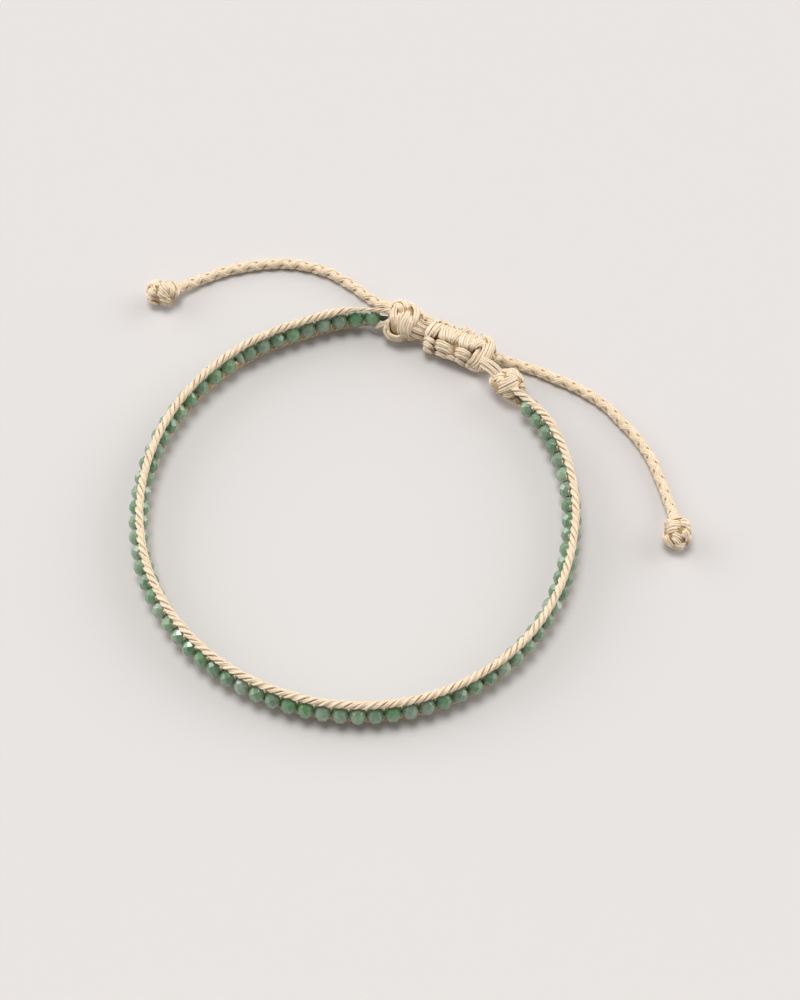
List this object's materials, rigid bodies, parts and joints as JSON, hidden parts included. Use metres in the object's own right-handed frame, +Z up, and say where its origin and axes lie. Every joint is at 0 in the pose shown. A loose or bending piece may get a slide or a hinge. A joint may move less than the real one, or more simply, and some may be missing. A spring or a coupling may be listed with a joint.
{
  "type": "beaded bracelet",
  "caption": "Adjustable bracelet: one row of small faceted stone beads between twisted edge cords, with a sliding knot and two braided tails.",
  "frame": {"origin": "centre of the bracelet's box, without its tails, on the surface that it lies on", "axes": "+Z up through the wrist opening, -Y towards the middle of the bead row, knots on the +Y side"},
  "size_m": [0.0699, 0.0677, 0.0053],
  "materials": {
    "stone": "polished",
    "cord": "matte"
  },
  "bodies": {
    "root": {"bead_string": "stone", "top_edge_cord": "cord", "bottom_edge_cord": "cord", "left_gather_knot": "cord", "right_gather_knot": "cord", "core_strands": "cord", "sliding_knot": "cord", "left_tail_cord": "cord", "right_tail_cord": "cord", "left_end_knot": "cord", "right_end_knot": "cord"}
  },
  "joints": []
}
